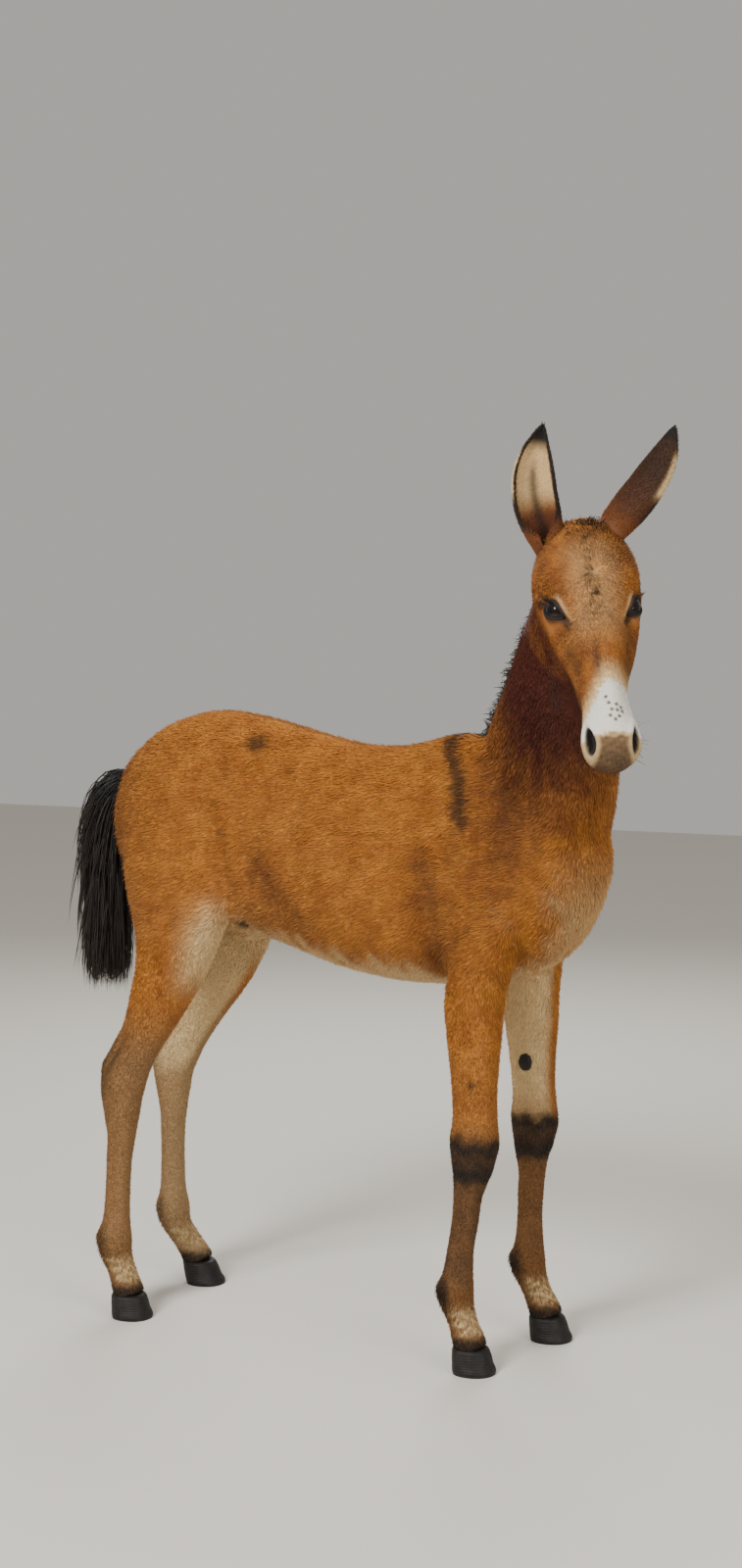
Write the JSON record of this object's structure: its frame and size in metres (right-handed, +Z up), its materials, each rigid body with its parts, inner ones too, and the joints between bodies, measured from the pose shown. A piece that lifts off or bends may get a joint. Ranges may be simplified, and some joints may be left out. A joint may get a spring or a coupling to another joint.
{
  "type": "mule foal",
  "caption": "A mule foal, life size, standing square with its head turned to its right: bay coat, pale muzzle, dark knees, long pricked ears and a dark tail. Stands on its hooves.",
  "frame": {"origin": "on the floor, under the middle of the outline", "axes": "+X towards the chest, +Y towards the animal's left, +Z up"},
  "size_m": [1.1157, 0.4375, 1.4587],
  "materials": {
    "coat": "short soft hair",
    "leg_coat": "short soft hair",
    "ear_coat": "short soft hair",
    "tail_hair": "long coarse hair",
    "eye": "wet and glossy",
    "horn": "matte horn"
  },
  "bodies": {
    "root": {"head": "coat", "neck": "coat", "torso": "coat", "tail": "tail_hair", "ear_right": "ear_coat", "ear_left": "ear_coat", "eye_right": "eye", "eye_left": "eye", "foreleg_right": "leg_coat", "foreleg_left": "leg_coat", "hindleg_right": "leg_coat", "hindleg_left": "leg_coat", "hoof_fore_right": "horn", "hoof_fore_left": "horn", "hoof_hind_right": "horn", "hoof_hind_left": "horn", "chestnut_right": "horn", "chestnut_left": "horn"}
  },
  "joints": []
}
